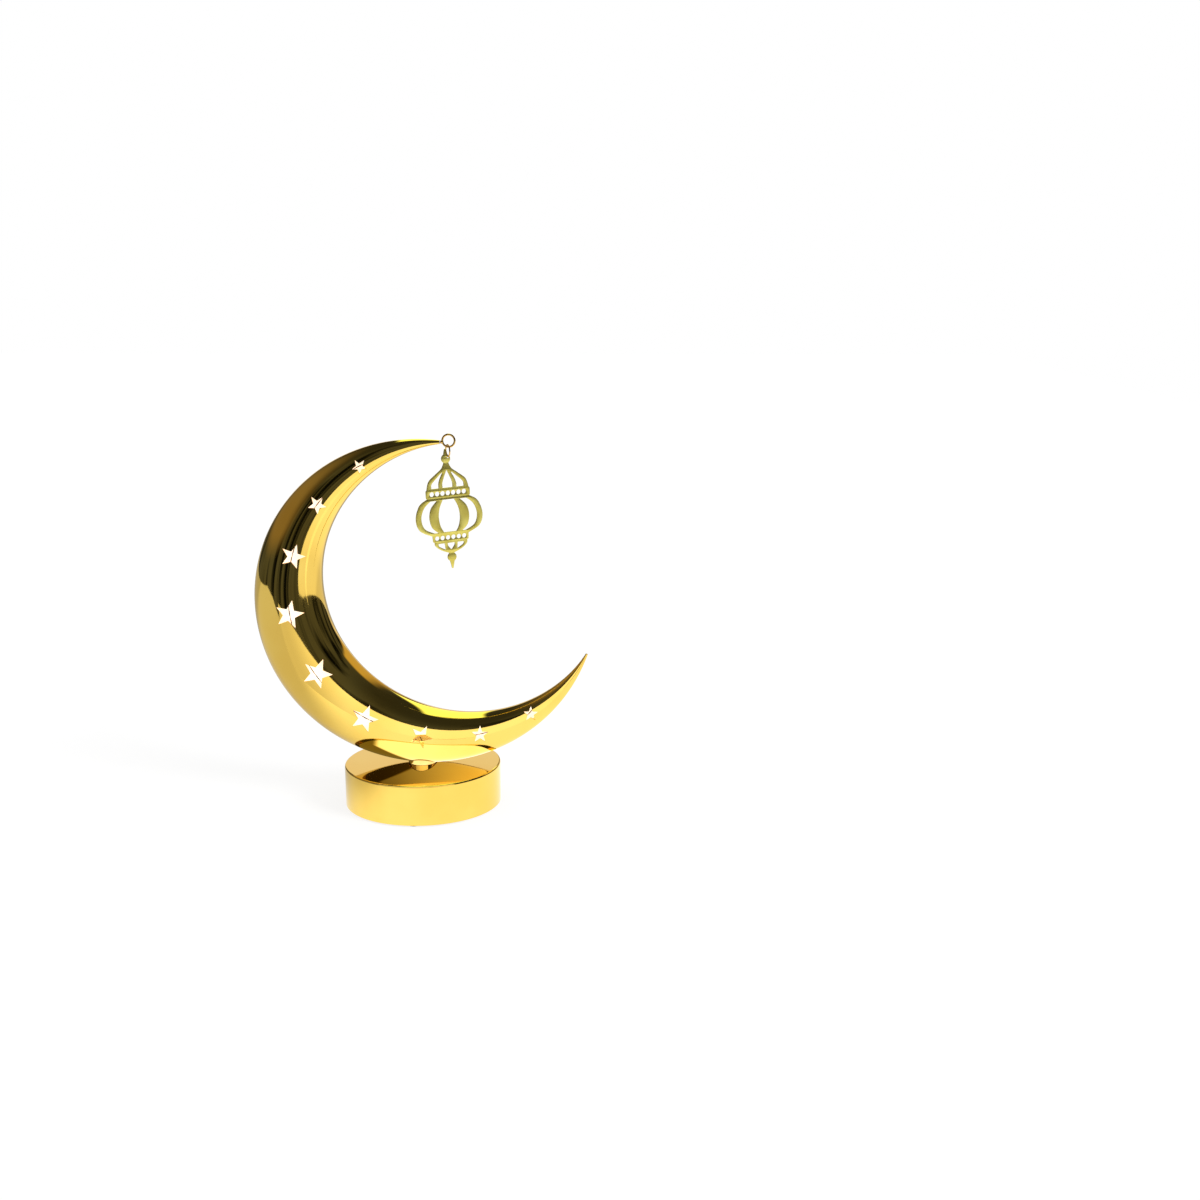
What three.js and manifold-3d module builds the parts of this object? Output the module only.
// A gold crescent moon on a round battery base, with a cut-sheet lantern hanging from its upper tip.
// Millimetres and degrees. +Z is up and the crescent faces -Y. All pieces are laid out about the
// drum's axis, and the last lines put the middle of the footprint at the origin.

import * as THREE from 'three';
import { mergeVertices } from 'three/addons/utils/BufferGeometryUtils.js';
import Module from 'manifold-3d';

const wasm = await Module();
wasm.setup();

// Fits
const SEAT = 0.3; // gap between a piece and what it rests on or runs in
const WIRE_GAP = 0.12; // gap between a hanging loop and the wire that carries it

// Drum
const DRUM_DIAMETER = 80;
const DRUM_TOP = 21.3; // height of the flat top above the table
const DRUM_WALL = 0.8;
const DRUM_EDGE = 1.0; // outer radius of the top edge
const RIM_LIFT = 0.8; // the drum's rim stands this far off the table

// Crescent: an oval centre line with a round section that swells from each tip to the belly
const MOON_OFFSET = 13.3; // from the drum's axis to the middle of the centre line
const MOON_HALF_WIDTH = 79.0; // half the centre line's width
const MOON_HALF_HEIGHT = 75.6; // half the centre line's height
const HORN_START = 90.8; // upper tip, as an angle on the oval
const HORN_END = 335.0; // lower tip
const HORN_SWELL = 18.2; // half width added at the belly
const HORN_SKEW = 0.975; // below 1 moves the belly towards the upper tip
const HORN_SHARPNESS = 1.15; // above 1 draws both horns out thinner
const ROD_RADIUS = 1.0; // upper tip, a thin rod
const POINT_RADIUS = 0.6; // lower tip, nearly a point
const DEPTH_SHARE = 0.9; // half depth of the section over its half width
const MOON_WALL = 0.8;
const SEAM_GAP = 0.1; // between the front and rear halves
const HOLLOW_RADIUS = 1.2; // the horn is solid where its hollow would be thinner than this

// Star cut-outs: where each sits on the oval, and which way one of its five points turns
const STAR_ANGLES = [121, 142, 164, 187, 213, 238.5, 261, 283, 303.5];
const STAR_TURNS = [-19, -19, -3, 5, -5, -4, -10, 18, 18];
const STAR_LEANS = [-8, -8, -10, -8, -12, -7, -8, -8, -8]; // degrees round the section, inwards
const STAR_SHARE = 0.412; // a star's radius over the horn's half width there
const STAR_LEAST = 3.9; // and the least radius, which the stars near the tips have
const STAR_WAIST = 0.42; // inner corners over points

// Diffuser liners behind the stars, and the wire that runs between them and the shells
const LINER_GAP = 3.2;
const LINER_WALL = 0.4;
const LINER_SPLIT = 1.0; // each liner stops this far from the middle plane
const LINER_START_SHARE = 0.1; // ends, as shares of the horn's length
const LINER_END_SHARE = 0.885;
const LINER_NOTCH_RISE = 4.6; // the liners' cut round the neck ends this far above the tube
const STRING_RADIUS = 0.35;
const STRING_LEAN = -8; // the wire sits this far round the section, towards the inner side
const BEAD_RADIUS = 1.3;
const BEAD_STRETCH = 1.5;

// Neck
const NECK_DIAMETER = 14;
const NECK_WALL = 1.2;
const NECK_DROP = 2.6; // the tube's top below the middle of the horn
const NUT_WIDTH = 21; // across flats
const NUT_THICKNESS = 2.8;
const NUT_THREAD_TAIL = 0.6; // tube showing below the nut

// Tip eye, jump ring and charm
const EYE_RADIUS = 3.05; // to the middle of the wire
const EYE_WIRE = 0.5;
const EYE_RISE = 0.7; // the eye is bent up this much from the line of the rod
const BRAZE_RADIUS = 0.9;
const JUMP_RADIUS = 2.95;
const JUMP_WIRE = 0.35;
const JUMP_SLIP = 0.5; // the jump ring rests this far left of the eye's middle
const CHARM_TURN = 26; // jump ring and charm hang turned by this much about the vertical
const CHARM_SHEET = 0.8;
const CHARM_HOLE = 0.6; // radius of the hole in the top ball
const CHARM_HOLE_OFFSET = 1.25; // from the charm's middle line
const CHARM_HOLE_RISE = 0.8; // above the ball's centre
const CHARM_BALANCE = 25.5; // the charm's centre of mass below the ball's centre

// Base plate, battery tray and door
const PLATE_THICKNESS = 2.4;
const PLATE_RECESS = 0.7; // the plate sits this far above the drum's rim
const TRAY_WALL = 1.5;
const TRAY_ROOF = 1.4;
const DOOR_THICKNESS = 1.4;
const DOOR_LAP = 2.2; // the door laps the bay's mouth by this much
const DOOR_HOOK_LENGTH = 1.8;
const DOOR_HOOK_WIDTH = 6;
const DOOR_HOOK_THICKNESS = 0.6;
const DOOR_HOOK_SPREAD = 11; // hooks either side of the middle
const HOOK_SKIN = 0.5; // plate left under each hook
const CELL_DIAMETER = 10.5; // AAA cells
const CELL_LENGTH = 44.5; // with the button
const CELL_BUTTON_RADIUS = 1.9;
const CELL_BUTTON_LENGTH = 1.0;
const CELL_PITCH = 11.3;
const RIB_WIDTH = 1.4;
const RIB_DEPTH = 2.6;
const CONTACT_THICKNESS = 0.4;
const CONTACT_SIZE = 8;
const CONTACT_TAB_WIDTH = 2.5;
const CONTACT_TAB_STAND = 1.0; // tab showing above the tray's roof
const SPRING_LENGTH = 4;
const SPRING_WIRE = 0.35;
const SPRING_TURNS = 3;

// Fasteners, feet and switch
const POST_DIAMETER = 6;
const POST_ANGLE = 55; // from the X axis
const POST_INSET = 2.7; // from the drum's wall to the post
const SCREW_RADIUS = 1.2;
const SCREW_HEAD_RADIUS = 2.5;
const SCREW_HEAD_HEIGHT = 1.4;
const SCREW_LENGTH = 10;
const FOOT_RADIUS = 4.2;
const FOOT_STEM_RADIUS = 1.5;
const FOOT_BULGE_RADIUS = 2.3;
const FOOT_INSET = 0.7; // from the drum's wall to the foot
const SWITCH_LENGTH = 13;
const SWITCH_WIDTH = 5.6;
const SWITCH_HEIGHT = 5;
const SWITCH_GAP = 2.6; // from the tray's wall
const KNOB_SIZE = 3;
const KNOB_TRAVEL = 4;
const KNOB_CLEARANCE = 0.9; // the knob's face above the table
const PIN_HEIGHT = 2;

// Leads
const LEAD_RADIUS = 0.5;
const SLEEVE_RADIUS = 1.1;
const SLEEVE_LENGTH = 7;

// Facets
const LARGE_FACETS = 48;
const MEDIUM_FACETS = 24;
const SMALL_FACETS = 12;
const HORN_STEPS = 40;
const HORN_SIDES = 20;
const HOLLOW_STEPS = 26;
const HOLLOW_SIDES = 12;
const LINER_STEPS = 18;
const LINER_SIDES = 10;

const rad = THREE.MathUtils.degToRad;
const lerp = THREE.MathUtils.lerp;
const vec = (x, y, z) => new THREE.Vector3(x, y, z);

// A closed geometry as a solid that can be joined and cut.
function solid(geometry) {
  const bare = new THREE.BufferGeometry();
  bare.setAttribute('position', geometry.getAttribute('position'));
  bare.setIndex(geometry.index);
  const merged = mergeVertices(bare, 1e-4);
  return new wasm.Manifold(new wasm.Mesh({
    numProp: 3,
    vertProperties: merged.attributes.position.array,
    triVerts: new Uint32Array(merged.index.array),
  }));
}

// A solid back as a geometry, with flat facets.
function faceted(body) {
  const mesh = body.getMesh();
  const indexed = new THREE.BufferGeometry();
  indexed.setAttribute('position', new THREE.BufferAttribute(mesh.vertProperties, 3));
  indexed.setIndex(new THREE.BufferAttribute(mesh.triVerts, 1));
  const flat = indexed.toNonIndexed();
  flat.computeVertexNormals();
  return flat;
}

// A box between two corners.
function block(x0, y0, z0, x1, y1, z1) {
  const box = new THREE.BoxGeometry(x1 - x0, y1 - y0, z1 - z0);
  return solid(box.translate((x0 + x1) / 2, (y0 + y1) / 2, (z0 + z1) / 2));
}

// An upright cylinder.
function post(radius, z0, z1, x = 0, y = 0, facets = SMALL_FACETS) {
  const cylinder = new THREE.CylinderGeometry(radius, radius, z1 - z0, facets);
  return solid(cylinder.rotateX(Math.PI / 2).translate(x, y, (z0 + z1) / 2));
}

// A turned piece. The profile lists radius and height, up the outside and down the inside.
function turned(profile, facets = MEDIUM_FACETS) {
  const points = profile.map(([radius, height]) => new THREE.Vector2(radius, height));
  if (points[0].x > 0) points.push(points[0].clone());
  return new THREE.LatheGeometry(points, facets).rotateX(Math.PI / 2);
}

function ringPoints(radius, sides) {
  return Array.from({ length: sides }, (_, i) => {
    const turn = (2 * Math.PI * i) / sides;
    return new THREE.Vector2(radius * Math.cos(turn), radius * Math.sin(turn));
  });
}

// A round wire along a list of points.
function wire(points, radius, steps, sides = 6) {
  const path = new THREE.CatmullRomCurve3(points, false, 'centripetal');
  const section = new THREE.Shape(ringPoints(radius, sides));
  return new THREE.ExtrudeGeometry(section, { steps, extrudePath: path });
}

// Rings of points, all alike in count, skinned into one closed body with a fan over each end.
function skinned(rings) {
  const sides = rings[0].length;
  const points = rings.flat();
  const index = [];
  for (let i = 0; i < rings.length - 1; i += 1) {
    for (let j = 0; j < sides; j += 1) {
      const a = i * sides + j;
      const b = i * sides + ((j + 1) % sides);
      index.push(a, b, a + sides, b, b + sides, a + sides);
    }
  }
  const last = (rings.length - 1) * sides;
  for (let j = 1; j < sides - 1; j += 1) {
    index.push(0, j + 1, j);
    index.push(last, last + j, last + j + 1);
  }
  return new THREE.BufferGeometry().setFromPoints(points).setIndex(index);
}

// The horn

// Place, outward direction, direction of travel and half width at a share of the horn's length,
// with the oval's middle at the origin.
function hornStation(share) {
  const angle = rad(lerp(HORN_START, HORN_END, share));
  const across = vec(Math.cos(angle) / MOON_HALF_WIDTH, 0, Math.sin(angle) / MOON_HALF_HEIGHT).normalize();
  const swell = Math.sin(Math.PI * share ** HORN_SKEW) ** HORN_SHARPNESS;
  return {
    centre: vec(MOON_HALF_WIDTH * Math.cos(angle), 0, MOON_HALF_HEIGHT * Math.sin(angle)),
    across,
    along: vec(-across.z, 0, across.x),
    half: HORN_SWELL * swell + lerp(ROD_RADIUS, POINT_RADIUS, share),
  };
}

const hornShares = Array.from({ length: HORN_STEPS + 1 }, (_, i) => i / HORN_STEPS);
const hornBottom = Math.min(...hornShares.map((share) => {
  const station = hornStation(share);
  return station.centre.z + station.across.z * station.half;
}));
const moonMiddle = vec(MOON_OFFSET, 0, DRUM_TOP + SEAT - hornBottom);

// A point in the horn: its share of the length, the angle round the section from the front crest
// towards the outer side, and the depth below the outer surface.
function hornPoint(share, around, inset = 0) {
  const { centre, across, half } = hornStation(share);
  const reach = half - inset;
  return moonMiddle.clone().add(centre)
    .addScaledVector(across, reach * Math.sin(rad(around)))
    .add(vec(0, -(DEPTH_SHARE * half - inset) * Math.cos(rad(around)), 0));
}

const angleShare = (angle) => (angle - HORN_START) / (HORN_END - HORN_START);

function hornBody(inset, from, to, steps, sides) {
  const rings = Array.from({ length: steps + 1 }, (_, i) => {
    const share = lerp(from, to, i / steps);
    return Array.from({ length: sides }, (_, j) => hornPoint(share, (360 * j) / sides, inset));
  });
  return solid(skinned(rings));
}

// The first and last share of the length at which the horn still has a hollow of the given depth.
function hollowSpan(inset) {
  const open = Array.from({ length: 401 }, (_, i) => i / 400)
    .filter((share) => DEPTH_SHARE * hornStation(share).half - inset > HOLLOW_RADIUS);
  return [open[0], open[open.length - 1]];
}

function starOutline(radius) {
  return Array.from({ length: 10 }, (_, i) => {
    const reach = i % 2 ? radius * STAR_WAIST : radius;
    const turn = (Math.PI * i) / 5;
    return new THREE.Vector2(reach * Math.cos(turn), reach * Math.sin(turn));
  });
}

// The punch that cuts one star, square to the surface. Side is -1 on the front, 1 on the rear.
function starPunch(angle, turn, lean, side) {
  const share = angleShare(angle);
  const { across, half } = hornStation(share);
  const around = side < 0 ? lean : 180 - lean;
  const centre = hornPoint(share, around);
  const out = across.clone().multiplyScalar(Math.sin(rad(around)))
    .add(vec(0, -Math.cos(rad(around)) / DEPTH_SHARE, 0)).normalize();
  const tip = vec(Math.cos(rad(turn)), 0, Math.sin(rad(turn)));
  tip.addScaledVector(out, -tip.dot(out)).normalize();
  const square = out.clone().cross(tip);
  const radius = Math.max(STAR_SHARE * half, STAR_LEAST);
  const below = MOON_WALL + radius * 0.45;
  const above = radius * 0.4;
  const punch = new THREE.ExtrudeGeometry(new THREE.Shape(starOutline(radius)), {
    depth: below + above,
    bevelEnabled: false,
  });
  punch.translate(0, 0, -below);
  punch.applyMatrix4(new THREE.Matrix4().makeBasis(tip, square, out));
  return solid(punch.translate(centre.x, centre.y, centre.z));
}

const neckRadius = NECK_DIAMETER / 2;
const neckAngle = 360 - THREE.MathUtils.radToDeg(Math.acos(-MOON_OFFSET / MOON_HALF_WIDTH));
const neckTop = hornPoint(angleShare(neckAngle), 0).z - NECK_DROP;
const span = MOON_HALF_WIDTH + MOON_HALF_HEIGHT + DRUM_TOP; // longer than any half of the moon

// One pressed half of the moon.
function moonHalf(side) {
  const [from, to] = hollowSpan(MOON_WALL);
  const outer = hornBody(0, 0, 1, HORN_STEPS, HORN_SIDES);
  const hollow = hornBody(MOON_WALL, from, to, HOLLOW_STEPS, HOLLOW_SIDES);
  const otherSide = side < 0
    ? block(-span, -SEAM_GAP / 2, -span, span, span, 2 * span)
    : block(-span, -span, -span, span, SEAM_GAP / 2, 2 * span);
  let half = outer.subtract(hollow).subtract(otherSide);
  STAR_ANGLES.forEach((angle, i) => {
    half = half.subtract(starPunch(angle, STAR_TURNS[i], STAR_LEANS[i], side));
  });
  return faceted(half.subtract(post(neckRadius + SEAT, 0, neckTop, 0, 0, MEDIUM_FACETS)));
}

// One diffuser liner, cut away round the neck so that it clears the tube.
function liner(side) {
  const outer = hornBody(MOON_WALL + LINER_GAP, LINER_START_SHARE, LINER_END_SHARE, LINER_STEPS, LINER_SIDES);
  const inner = hornBody(
    MOON_WALL + LINER_GAP + LINER_WALL,
    LINER_START_SHARE - 0.01,
    LINER_END_SHARE + 0.01,
    LINER_STEPS,
    LINER_SIDES,
  );
  const otherSide = side < 0
    ? block(-span, -LINER_SPLIT, -span, span, span, 2 * span)
    : block(-span, -span, -span, span, LINER_SPLIT, 2 * span);
  const reach = neckRadius + 1.5;
  const notch = block(-reach, -span, 0, reach, span, neckTop + LINER_NOTCH_RISE);
  return faceted(outer.subtract(inner).subtract(otherSide).subtract(notch));
}

// The drum

const drumRadius = DRUM_DIAMETER / 2;
const drumInner = drumRadius - DRUM_WALL;
const drumCeiling = DRUM_TOP - DRUM_WALL;

function drumCover() {
  const edge = Array.from({ length: 4 }, (_, i) => {
    const turn = rad(30 * i);
    return [
      drumRadius - DRUM_EDGE * (1 - Math.cos(turn)),
      DRUM_TOP - DRUM_EDGE * (1 - Math.sin(turn)),
    ];
  });
  return turned([
    [drumRadius, RIM_LIFT],
    ...edge,
    [neckRadius + SEAT, DRUM_TOP],
    [neckRadius + SEAT, drumCeiling],
    [drumInner, drumCeiling],
    [drumInner, RIM_LIFT],
  ], LARGE_FACETS);
}

const nutTop = drumCeiling - SEAT;
const neckFoot = nutTop - NUT_THICKNESS - NUT_THREAD_TAIL;

function neckTube() {
  const bore = neckRadius - NECK_WALL;
  return turned([[neckRadius, neckFoot], [neckRadius, neckTop], [bore, neckTop], [bore, neckFoot]]);
}

function neckNut() {
  const corner = NUT_WIDTH / 2 / Math.cos(rad(30));
  const hexagon = new THREE.Shape(ringPoints(corner, 6));
  hexagon.holes.push(new THREE.Path(ringPoints(neckRadius + SEAT, MEDIUM_FACETS)));
  const nut = new THREE.ExtrudeGeometry(hexagon, { depth: NUT_THICKNESS, bevelEnabled: false });
  return nut.translate(0, 0, nutTop - NUT_THICKNESS);
}

// Base plate, battery tray and door

const plateBottom = RIM_LIFT + PLATE_RECESS;
const plateTop = plateBottom + PLATE_THICKNESS;
const cellRadius = CELL_DIAMETER / 2;
const doorTop = plateBottom + DOOR_THICKNESS;
const cellMiddle = doorTop + SEAT + cellRadius;
const roofBottom = cellMiddle + cellRadius + SEAT;
const roofTop = roofBottom + TRAY_ROOF;
const bayHalfLength = (CELL_LENGTH + SPRING_LENGTH + 2 * CONTACT_THICKNESS + 5 * SEAT) / 2;
const bayHalfWidth = CELL_PITCH + cellRadius + SEAT;
const trayHalfWidth = bayHalfWidth + TRAY_WALL;
const doorHalfLength = bayHalfLength + DOOR_LAP;
const doorHalfWidth = bayHalfWidth + DOOR_LAP;
const postCircle = drumInner - POST_INSET - POST_DIAMETER / 2;
const footCircle = drumInner - FOOT_INSET - FOOT_RADIUS;
const quarterTurns = [0, 90, 180, 270];
const postAngles = [POST_ANGLE, 180 - POST_ANGLE, 180 + POST_ANGLE, 360 - POST_ANGLE];
const onCircle = (radius, angle) => [radius * Math.cos(rad(angle)), radius * Math.sin(rad(angle))];
const switchY = trayHalfWidth + SWITCH_GAP + SWITCH_WIDTH / 2;
const knobSlotHalf = (KNOB_SIZE + KNOB_TRAVEL) / 2 + SEAT;
const knobHalf = KNOB_SIZE / 2;
const tabHalf = CONTACT_TAB_WIDTH / 2;
const contactX = bayHalfLength - SEAT - CONTACT_THICKNESS / 2;

// Where the door's hooks reach under the plate: slots that are open upwards, so the hooks can lift.
function hookSlots() {
  return [-1, 1].map((side) => {
    const y = side * DOOR_HOOK_SPREAD;
    const halfWidth = DOOR_HOOK_WIDTH / 2 + SEAT;
    const outerEnd = doorHalfLength + DOOR_HOOK_LENGTH + SEAT;
    return block(
      -outerEnd, y - halfWidth, plateBottom + HOOK_SKIN,
      -doorHalfLength + 1.2, y + halfWidth, roofBottom,
    );
  });
}

function basePlate() {
  let plate = post(drumInner - SEAT, plateBottom, plateTop, 0, 0, LARGE_FACETS);
  plate = plate.add(block(
    -bayHalfLength - TRAY_WALL, -trayHalfWidth, plateTop - 0.5,
    bayHalfLength + TRAY_WALL, trayHalfWidth, roofTop,
  ));
  plate = plate.subtract(block(
    -bayHalfLength, -bayHalfWidth, 0, bayHalfLength, bayHalfWidth, roofBottom,
  ));
  for (const y of [-CELL_PITCH / 2, CELL_PITCH / 2]) {
    const reach = bayHalfLength - 2 * SPRING_LENGTH;
    plate = plate.add(block(
      -reach, y - RIB_WIDTH / 2, roofBottom - RIB_DEPTH, reach, y + RIB_WIDTH / 2, roofBottom + 0.5,
    ));
  }
  plate = plate.subtract(block(
    -doorHalfLength - SEAT, -doorHalfWidth - SEAT, 0,
    doorHalfLength + SEAT, doorHalfWidth + SEAT, doorTop + SEAT,
  ));
  for (const slot of hookSlots()) {
    plate = plate.subtract(slot);
  }
  for (const angle of postAngles) {
    const [x, y] = onCircle(postCircle, angle);
    plate = plate.subtract(post(SCREW_RADIUS + SEAT, 0, plateTop + 1, x, y));
    plate = plate.subtract(post(SCREW_HEAD_RADIUS + SEAT, 0, plateBottom + SCREW_HEAD_HEIGHT, x, y));
  }
  for (const angle of quarterTurns) {
    const [x, y] = onCircle(footCircle, angle);
    plate = plate.subtract(post(FOOT_STEM_RADIUS + SEAT, 0, plateTop + 1, x, y));
  }
  plate = plate.subtract(block(
    -knobSlotHalf, switchY - knobHalf - SEAT, 0, knobSlotHalf, switchY + knobHalf + SEAT, plateTop + 1,
  ));
  for (const side of [-1, 1]) {
    plate = plate.subtract(block(
      side * contactX - CONTACT_THICKNESS / 2 - SEAT, side * CELL_PITCH - tabHalf - SEAT, roofBottom - 1,
      side * contactX + CONTACT_THICKNESS / 2 + SEAT, side * CELL_PITCH + tabHalf + SEAT, roofTop + 1,
    ));
  }
  return faceted(plate);
}

function batteryDoor() {
  let door = block(
    -doorHalfLength, -doorHalfWidth, plateBottom, doorHalfLength, doorHalfWidth, doorTop,
  );
  for (const side of [-1, 1]) {
    const y = side * DOOR_HOOK_SPREAD;
    door = door.add(block(
      -doorHalfLength - DOOR_HOOK_LENGTH, y - DOOR_HOOK_WIDTH / 2, doorTop - DOOR_HOOK_THICKNESS,
      -doorHalfLength + 1, y + DOOR_HOOK_WIDTH / 2, doorTop,
    ));
  }
  // The finger notch at the free end, with three grip grooves beside it.
  door = door.subtract(block(
    doorHalfLength - 1.6, -CELL_PITCH / 2, 0, doorHalfLength + 1, CELL_PITCH / 2, plateBottom + 0.7,
  ));
  for (const step of [1, 2, 3]) {
    const x = doorHalfLength - 1.6 - 1.6 * step;
    door = door.subtract(block(
      x - 0.4, -CELL_PITCH / 2, 0, x + 0.4, CELL_PITCH / 2, plateBottom + 0.4,
    ));
  }
  return faceted(door);
}

// An AAA cell lying along X. Way is 1 when its button points to +X.
function cell(row, way) {
  const body = CELL_LENGTH - CELL_BUTTON_LENGTH;
  const profile = [
    [0, 0],
    [cellRadius - 0.5, 0],
    [cellRadius, 0.5],
    [cellRadius, body - 0.5],
    [cellRadius - 0.5, body],
    [CELL_BUTTON_RADIUS, body],
    [CELL_BUTTON_RADIUS, CELL_LENGTH],
    [0, CELL_LENGTH],
  ];
  const start = contactX - CONTACT_THICKNESS / 2 - SEAT - CELL_LENGTH;
  const lying = turned(profile, 16).rotateY((way * Math.PI) / 2);
  return lying.translate(way * start, row * CELL_PITCH, cellMiddle);
}

// The conical spring behind a cell's flat end. Side is the end of the bay that it stands at.
function contactSpring(row, side) {
  const steps = 8 * SPRING_TURNS;
  const wide = CONTACT_SIZE / 2 - SPRING_WIRE - 0.4;
  const narrow = wide * 0.6;
  const root = contactX - CONTACT_THICKNESS / 2 - SEAT - SPRING_WIRE;
  const run = SPRING_LENGTH - 2 * SPRING_WIRE;
  const points = Array.from({ length: steps + 1 }, (_, i) => {
    const done = i / steps;
    const turn = 2 * Math.PI * SPRING_TURNS * done;
    const radius = lerp(wide, narrow, done);
    return vec(
      side * (root - run * done),
      row * CELL_PITCH + radius * Math.cos(turn),
      cellMiddle + radius * Math.sin(turn),
    );
  });
  return wire(points, SPRING_WIRE, steps, 5);
}

// A contact plate at one end of the bay, behind the rows that it joins, with a tab if it has a lead.
function contactPlate(side, firstRow, lastRow, hasTab) {
  const half = CONTACT_SIZE / 2;
  const near = side * contactX - CONTACT_THICKNESS / 2;
  const far = near + CONTACT_THICKNESS;
  let plate = block(
    near, firstRow * CELL_PITCH - half, cellMiddle - half,
    far, lastRow * CELL_PITCH + half, cellMiddle + half,
  );
  if (hasTab) {
    const y = firstRow * CELL_PITCH;
    plate = plate.add(block(
      near, y - tabHalf, cellMiddle, far, y + tabHalf, roofTop + CONTACT_TAB_STAND,
    ));
  }
  return faceted(plate);
}

// Fasteners, feet and switch

function coverPost(angle) {
  const [x, y] = onCircle(postCircle, angle);
  const foot = plateTop + SEAT;
  const pilot = plateBottom + SCREW_HEAD_HEIGHT + SCREW_LENGTH;
  return faceted(post(POST_DIAMETER / 2, foot, drumCeiling - SEAT, x, y)
    .subtract(post(SCREW_RADIUS + SEAT, foot - 1, pilot, x, y)));
}

function plateScrew(angle) {
  const [x, y] = onCircle(postCircle, angle);
  const seat = plateBottom + SCREW_HEAD_HEIGHT - SEAT;
  const screw = turned([
    [0, seat - SCREW_HEAD_HEIGHT + SEAT],
    [SCREW_HEAD_RADIUS - 0.4, seat - SCREW_HEAD_HEIGHT + SEAT],
    [SCREW_HEAD_RADIUS, seat - SCREW_HEAD_HEIGHT / 2],
    [SCREW_HEAD_RADIUS, seat],
    [SCREW_RADIUS, seat],
    [SCREW_RADIUS, seat + SCREW_LENGTH - SCREW_RADIUS],
    [0, seat + SCREW_LENGTH],
  ], SMALL_FACETS);
  return screw.translate(x, y, 0);
}

function rubberFoot(angle) {
  const [x, y] = onCircle(footCircle, angle);
  const pad = plateBottom - SEAT;
  const neck = plateTop + SEAT;
  const foot = turned([
    [0, 0],
    [FOOT_RADIUS - 0.3, 0],
    [FOOT_RADIUS, 0.3],
    [FOOT_RADIUS, pad],
    [FOOT_STEM_RADIUS, pad],
    [FOOT_STEM_RADIUS, neck],
    [FOOT_BULGE_RADIUS, neck],
    [FOOT_STEM_RADIUS * 0.6, neck + 2],
    [0, neck + 2],
  ], SMALL_FACETS);
  return foot.translate(x, y, 0);
}

const switchBottom = plateTop + SEAT;
const switchTop = switchBottom + SWITCH_HEIGHT;
const knobTop = switchBottom + SWITCH_HEIGHT / 2;
const pinXs = [-SWITCH_LENGTH / 4, 0, SWITCH_LENGTH / 4];

function switchBody() {
  let body = block(
    -SWITCH_LENGTH / 2, switchY - SWITCH_WIDTH / 2, switchBottom,
    SWITCH_LENGTH / 2, switchY + SWITCH_WIDTH / 2, switchTop,
  );
  body = body.subtract(block(
    -knobSlotHalf, switchY - knobHalf - SEAT, 0, knobSlotHalf, switchY + knobHalf + SEAT, knobTop + SEAT,
  ));
  for (const x of pinXs) {
    const pinEnd = switchTop + PIN_HEIGHT;
    body = body.add(block(x - 0.5, switchY - 0.3, switchTop - 0.5, x + 0.5, switchY + 0.3, pinEnd));
  }
  return faceted(body);
}

function switchKnob() {
  const x = -KNOB_TRAVEL / 2;
  let knob = block(
    x - knobHalf, switchY - knobHalf, KNOB_CLEARANCE, x + knobHalf, switchY + knobHalf, knobTop,
  );
  for (const step of [-1, 0, 1]) {
    knob = knob.subtract(block(
      x + 0.8 * step - 0.2, switchY - KNOB_SIZE, 0,
      x + 0.8 * step + 0.2, switchY + KNOB_SIZE, KNOB_CLEARANCE + 0.3,
    ));
  }
  return faceted(knob);
}

// Leads and LED string

const leadHeight = roofTop + SEAT + LEAD_RADIUS;
const sleeveHeight = roofTop + SEAT + SLEEVE_RADIUS;
const sleeveStart = NUT_WIDTH / 2 / Math.cos(rad(30)) + 1.2;
const sleeveEnd = sleeveStart + SLEEVE_LENGTH;
const tabFace = contactX - CONTACT_THICKNESS / 2 - SEAT;
const pinTop = switchTop + PIN_HEIGHT + SEAT;

function leadPlus() {
  return wire([
    vec(tabFace, CELL_PITCH, leadHeight),
    vec(tabFace - 4, CELL_PITCH + 1, leadHeight),
    vec(tabFace - 9, CELL_PITCH + 5, leadHeight + 0.6),
    vec(pinXs[2] + 6, switchY - 1, pinTop + 3.4),
    vec(pinXs[2] + 1.5, switchY, pinTop + 2.6),
    vec(pinXs[2], switchY, pinTop),
  ], LEAD_RADIUS, 22);
}

function leadSwitch() {
  return wire([
    vec(pinXs[1], switchY, pinTop),
    vec(pinXs[1], switchY - 0.8, pinTop + 2.8),
    vec(pinXs[1] + 4, switchY - 6, leadHeight),
    vec(sleeveStart, 10, leadHeight),
    vec(sleeveEnd + 1, 6.5, leadHeight),
    vec(sleeveEnd + 3, 3, leadHeight + 0.2),
    vec(sleeveEnd + SEAT, 0.7, sleeveHeight),
  ], LEAD_RADIUS, 26);
}

function leadMinus() {
  return wire([
    vec(-tabFace, -CELL_PITCH, leadHeight),
    vec(-tabFace + 5, -CELL_PITCH - 1.5, leadHeight),
    vec(-neckRadius, -CELL_PITCH - 2, leadHeight),
    vec(neckRadius, -CELL_PITCH - 1, leadHeight),
    vec(sleeveEnd, -7, leadHeight),
    vec(sleeveEnd + 3, -3, leadHeight + 0.2),
    vec(sleeveEnd + SEAT, -0.7, sleeveHeight),
  ], LEAD_RADIUS, 28);
}

function jointSleeve() {
  const sleeve = new THREE.CylinderGeometry(SLEEVE_RADIUS, SLEEVE_RADIUS, SLEEVE_LENGTH, SMALL_FACETS);
  return sleeve.rotateZ(Math.PI / 2).translate((sleeveStart + sleeveEnd) / 2, 0, sleeveHeight);
}

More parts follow.
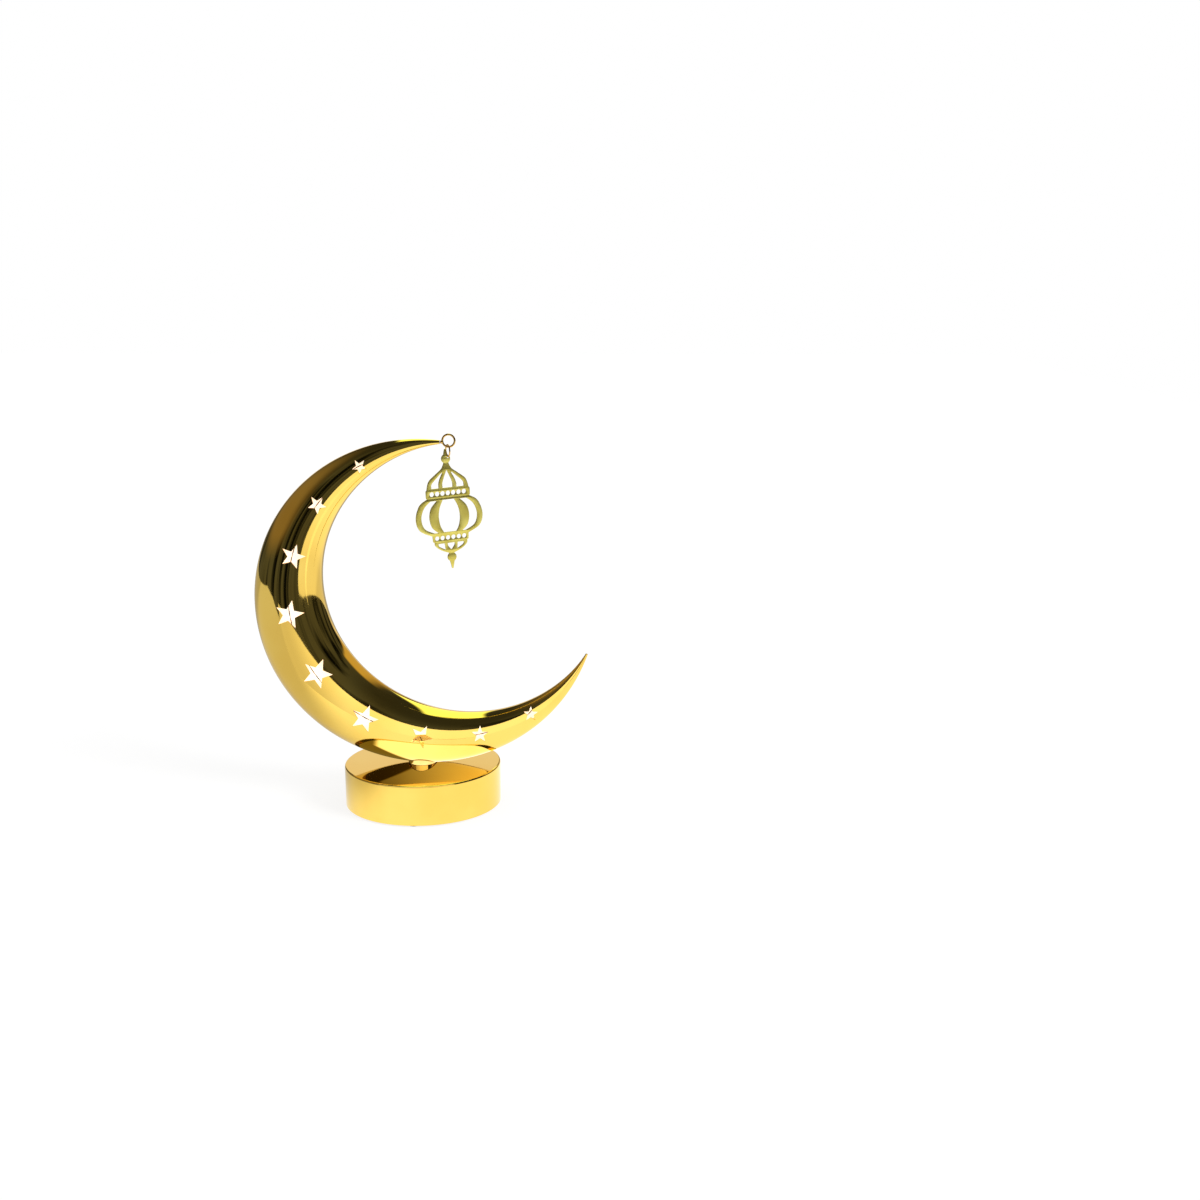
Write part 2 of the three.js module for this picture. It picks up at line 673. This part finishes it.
// The string leaves the sleeve, climbs the neck tube, runs up the long horn behind the front stars,
// turns round the end of the liner, comes back behind the rear stars and does the same on the short horn.
const midGap = MOON_WALL + LINER_GAP / 2;
const frontRow = STRING_LEAN;
const rearRow = -180 - STRING_LEAN;
const hornRun = (shares, around) => shares.map((share) => hornPoint(share, around, midGap));
const longHorn = [0.655, 0.606, 0.554, 0.502, 0.45, 0.393, 0.347, 0.3, 0.255, 0.21, 0.166, 0.123];
const shortHorn = [0.745, 0.786, 0.829, 0.86];
const stringRoute = [
  vec(sleeveStart - SEAT, 0, sleeveHeight - 0.5),
  vec(neckRadius, 0, roofTop + SEAT + STRING_RADIUS),
  vec(2.5, 0, neckFoot - 0.2),
  vec(0, 0, neckFoot + 4),
  vec(0, 0, neckTop - 4),
  vec(-1, -2, neckTop + 1),
  vec(-2.5, -7.5, neckTop + 1.3),
  vec(-5.5, -11.4, neckTop + 0.8),
  ...hornRun(longHorn, frontRow),
  hornPoint(LINER_START_SHARE - 0.005, -90, midGap),
  ...hornRun(longHorn, rearRow).reverse(),
  ...hornRun([0.7], rearRow),
  ...hornRun(shortHorn, rearRow),
  hornPoint(LINER_END_SHARE + 0.007, -90, midGap),
  ...hornRun(shortHorn, frontRow).reverse(),
];
const frontBeads = [0.166, 0.255, 0.347, 0.45, 0.554, 0.655, 0.745, 0.829];
const rearBeads = [0.166, 0.255, 0.347, 0.45, 0.554, 0.655, 0.745, 0.829];

function bead(share, around) {
  const ball = new THREE.SphereGeometry(BEAD_RADIUS, 6, 3).rotateX(Math.PI / 2);
  ball.scale(1, 1, BEAD_STRETCH);
  const { along } = hornStation(share);
  ball.applyQuaternion(new THREE.Quaternion().setFromUnitVectors(vec(0, 0, 1), along));
  const place = hornPoint(share, around, midGap);
  return solid(ball.translate(place.x, place.y, place.z));
}

function ledString() {
  let string = solid(wire(stringRoute, STRING_RADIUS, 84, 5));
  for (const share of frontBeads) {
    string = string.add(bead(share, frontRow));
  }
  for (const share of rearBeads) {
    string = string.add(bead(share, rearRow));
  }
  return faceted(string);
}

// Tip eye, jump ring and charm

const hornTip = hornPoint(0, 0).setY(0);
const tipWay = hornStation(0).along.clone().negate();
const eyeCentre = hornTip.clone()
  .addScaledVector(tipWay, EYE_RADIUS + EYE_WIRE + BRAZE_RADIUS)
  .add(vec(0, 0, EYE_RISE));

function tipEye() {
  const ring = new THREE.TorusGeometry(EYE_RADIUS, EYE_WIRE, 7, 22);
  ring.rotateX(Math.PI / 2).translate(eyeCentre.x, 0, eyeCentre.z);
  const braze = hornTip.clone().addScaledVector(tipWay, BRAZE_RADIUS + WIRE_GAP);
  const blob = new THREE.SphereGeometry(BRAZE_RADIUS, 8, 5).translate(braze.x, 0, braze.z);
  return faceted(solid(ring).add(solid(blob)));
}

// The hang point is the middle of the eye's wire where the jump ring rests on it.
const slipAngle = Math.asin(JUMP_SLIP / EYE_RADIUS);
const hangPoint = vec(
  eyeCentre.x - JUMP_SLIP, 0, eyeCentre.z - EYE_RADIUS * Math.cos(slipAngle),
);
const jumpTop = EYE_WIRE + WIRE_GAP + JUMP_WIRE; // all below is measured from the hang point
const jumpMiddle = jumpTop - JUMP_RADIUS;
const jumpBottom = jumpMiddle - JUMP_RADIUS;
const ballCentre = jumpBottom + JUMP_WIRE + WIRE_GAP - CHARM_HOLE - CHARM_HOLE_RISE;

function jumpRing() {
  const ring = new THREE.TorusGeometry(JUMP_RADIUS, JUMP_WIRE, 6, 22);
  return ring.rotateY(Math.PI / 2).translate(0, 0, jumpMiddle);
}

const curve = (points, count) => new THREE.SplineCurve(
  points.map(([x, y]) => new THREE.Vector2(x, y)),
).getPoints(count);

function arc(x, y, radius, from, to, count) {
  return Array.from({ length: count + 1 }, (_, i) => {
    const turn = rad(lerp(from, to, i / count));
    return new THREE.Vector2(x + radius * Math.cos(turn), y + radius * Math.sin(turn));
  });
}

const mirrored = (points) => points.map((point) => new THREE.Vector2(-point.x, point.y)).reverse();

// The charm is drawn with its top ball's centre at the origin and its middle line along Y.
function charmOutline() {
  const ball = 2.3;
  const right = [
    new THREE.Vector2(0.4, 4.85),
    ...arc(0, 0, ball, 62, -56, 6),
    ...curve([[1.3, -2.3], [2.6, -4.8], [5.6, -7.2], [9.6, -10.6], [11.0, -15.0]], 9),
    new THREE.Vector2(11.5, -15.4),
    new THREE.Vector2(11.5, -18.8),
    ...curve([[11.0, -19.3], [15.3, -22.3], [17.5, -28.9], [15.7, -34.8], [9.5, -38.2]], 13),
    new THREE.Vector2(9.3, -41.2),
    ...curve([[8.6, -41.5], [8.2, -43.4], [5.4, -45.7], [1.4, -47.4]], 6),
    ...arc(0, -49.6, ball, 54, -60, 6),
    new THREE.Vector2(0.3, -55.4),
  ];
  return new THREE.Shape([...right, ...mirrored(right)]);
}

function domeWindows() {
  const middle = curve([[0.0, -5.4], [1.5, -8.8], [2.6, -12.0], [2.6, -14.4]], 5);
  const side = [
    ...curve([[2.6, -6.6], [5.4, -9.2], [8.2, -12.0], [8.5, -14.4]], 6),
    ...curve([[4.6, -14.4], [4.6, -12.4], [3.8, -9.8], [2.3, -7.0]], 5),
  ];
  return [[...middle, ...mirrored(middle.slice(1))], side, mirrored(side)];
}

function bulbWindows() {
  const middle = curve([[3.0, -20.3], [4.9, -24.4], [5.6, -29.0], [4.9, -33.6], [3.3, -36.7]], 8);
  const side = [
    ...curve([[9.4, -20.5], [13.0, -23.7], [14.7, -28.9], [13.2, -34.0], [8.2, -36.8]], 9),
    ...curve([[6.2, -36.8], [9.3, -33.8], [10.4, -29.0], [9.3, -24.2], [6.0, -20.5]], 9),
  ];
  return [[...middle, ...mirrored(middle)], side, mirrored(side)];
}

function bowlWindows() {
  const middle = curve([[1.9, -42.3], [1.7, -43.7], [0.0, -45.8]], 3);
  const side = [
    ...curve([[6.7, -42.3], [6.3, -43.7], [3.0, -45.6]], 3),
    new THREE.Vector2(3.4, -42.3),
  ];
  const both = [...middle, ...mirrored(middle.slice(0, -1))];
  return [both, side, mirrored(side)];
}

function holeRow(count, pitch, height, radius) {
  return Array.from({ length: count }, (_, i) => {
    const x = pitch * (i - (count - 1) / 2);
    return ringPoints(radius, 10).map((point) => new THREE.Vector2(point.x + x, point.y + height));
  });
}

function lanternCharm() {
  const sheetOf = (shape, thickness) => {
    const sheet = new THREE.ExtrudeGeometry(shape, { depth: thickness, bevelEnabled: false });
    return solid(sheet.translate(0, 0, -thickness / 2));
  };
  const ringHole = ringPoints(CHARM_HOLE, 12)
    .map((point) => new THREE.Vector2(point.x + CHARM_HOLE_OFFSET, point.y + CHARM_HOLE_RISE));
  const windows = [
    ...domeWindows(), ...bulbWindows(), ...bowlWindows(),
    ...holeRow(7, 2.8, -17.1, 1.2), ...holeRow(6, 2.85, -39.5, 1.15), ringHole,
  ];
  let charm = sheetOf(charmOutline(), CHARM_SHEET);
  for (const points of windows) {
    charm = charm.subtract(sheetOf(new THREE.Shape(points), 2 * CHARM_SHEET));
  }
  const lean = Math.atan2(CHARM_HOLE_OFFSET, CHARM_BALANCE + CHARM_HOLE_RISE);
  const hung = faceted(charm).translate(-CHARM_HOLE_OFFSET, -CHARM_HOLE_RISE, 0);
  return hung.rotateX(Math.PI / 2).rotateY(-lean).translate(0, 0, ballCentre + CHARM_HOLE_RISE);
}

// Finishes
const finish = (color, roughness, metalness) => ({ color, roughness, metalness });
const GOLD = finish('#f0c24e', 0.08, 1);
const CHARM_GOLD = finish('#c3b450', 0.35, 1);
const RING_GOLD = finish('#d9a63c', 0.2, 1);
const NECK_BRASS = finish('#c89a5a', 0.4, 1);
const STEEL = finish('#b9bcc0', 0.3, 1);
const BLACK_PLASTIC = finish('#1d1d1f', 0.5, 0);
const RUBBER = finish('#2a2a2c', 0.8, 0);
const WHITE_FILM = finish('#f6f4ee', 0.6, 0);
const COPPER = finish('#b06a3a', 0.35, 1);
const CELL_JACKET = finish('#3b6ea8', 0.35, 0);
const RED_LEAD = finish('#b3261e', 0.5, 0);
const BLACK_LEAD = finish('#18181a', 0.5, 0);

const stand = new THREE.Group();
const pendant = new THREE.Group(); // what hangs from the tip eye, turned as it hangs
pendant.position.copy(hangPoint);
pendant.rotation.z = rad(CHARM_TURN);
stand.add(pendant);

function place(name, geometry, look, parent = stand) {
  const mesh = new THREE.Mesh(geometry, new THREE.MeshStandardMaterial(look));
  mesh.name = name;
  parent.add(mesh);
}

place('moon_front_half', moonHalf(-1), GOLD);
place('moon_rear_half', moonHalf(1), GOLD);
place('diffuser_front', liner(-1), WHITE_FILM);
place('diffuser_rear', liner(1), WHITE_FILM);
place('led_string', ledString(), COPPER);
place('tip_eye', tipEye(), RING_GOLD);
place('jump_ring', jumpRing(), RING_GOLD, pendant);
place('lantern_charm', lanternCharm(), CHARM_GOLD, pendant);

place('drum_cover', drumCover(), GOLD);
place('neck_tube', neckTube(), NECK_BRASS);
place('neck_nut', neckNut(), STEEL);
place('base_plate', basePlate(), BLACK_PLASTIC);
place('battery_door', batteryDoor(), BLACK_PLASTIC);
postAngles.forEach((angle, i) => {
  place(`cover_post_${i + 1}`, coverPost(angle), STEEL);
  place(`plate_screw_${i + 1}`, plateScrew(angle), STEEL);
});
quarterTurns.forEach((angle, i) => {
  place(`rubber_foot_${i + 1}`, rubberFoot(angle), RUBBER);
});

// Cells lie in three rows, the middle one turned round, with a spring behind each flat end.
[[-1, 1], [0, -1], [1, 1]].forEach(([row, way], i) => {
  place(`battery_cell_${i + 1}`, cell(row, way), CELL_JACKET);
  place(`contact_spring_${i + 1}`, contactSpring(row, -way), STEEL);
});
place('contact_minus', contactPlate(-1, -1, -1, true), STEEL);
place('contact_left_bridge', contactPlate(-1, 0, 1, false), STEEL);
place('contact_right_bridge', contactPlate(1, -1, 0, false), STEEL);
place('contact_plus', contactPlate(1, 1, 1, true), STEEL);
place('switch_body', switchBody(), STEEL);
place('switch_knob', switchKnob(), BLACK_PLASTIC);
place('lead_plus', leadPlus(), RED_LEAD);
place('lead_switch', leadSwitch(), RED_LEAD);
place('lead_minus', leadMinus(), BLACK_LEAD);
place('joint_sleeve', jointSleeve(), BLACK_LEAD);

// The footprint's middle goes to the origin.
const footprint = new THREE.Box3().setFromObject(stand);
stand.position.x = -(footprint.min.x + footprint.max.x) / 2;
stand.position.y = -(footprint.min.y + footprint.max.y) / 2;

export default stand;
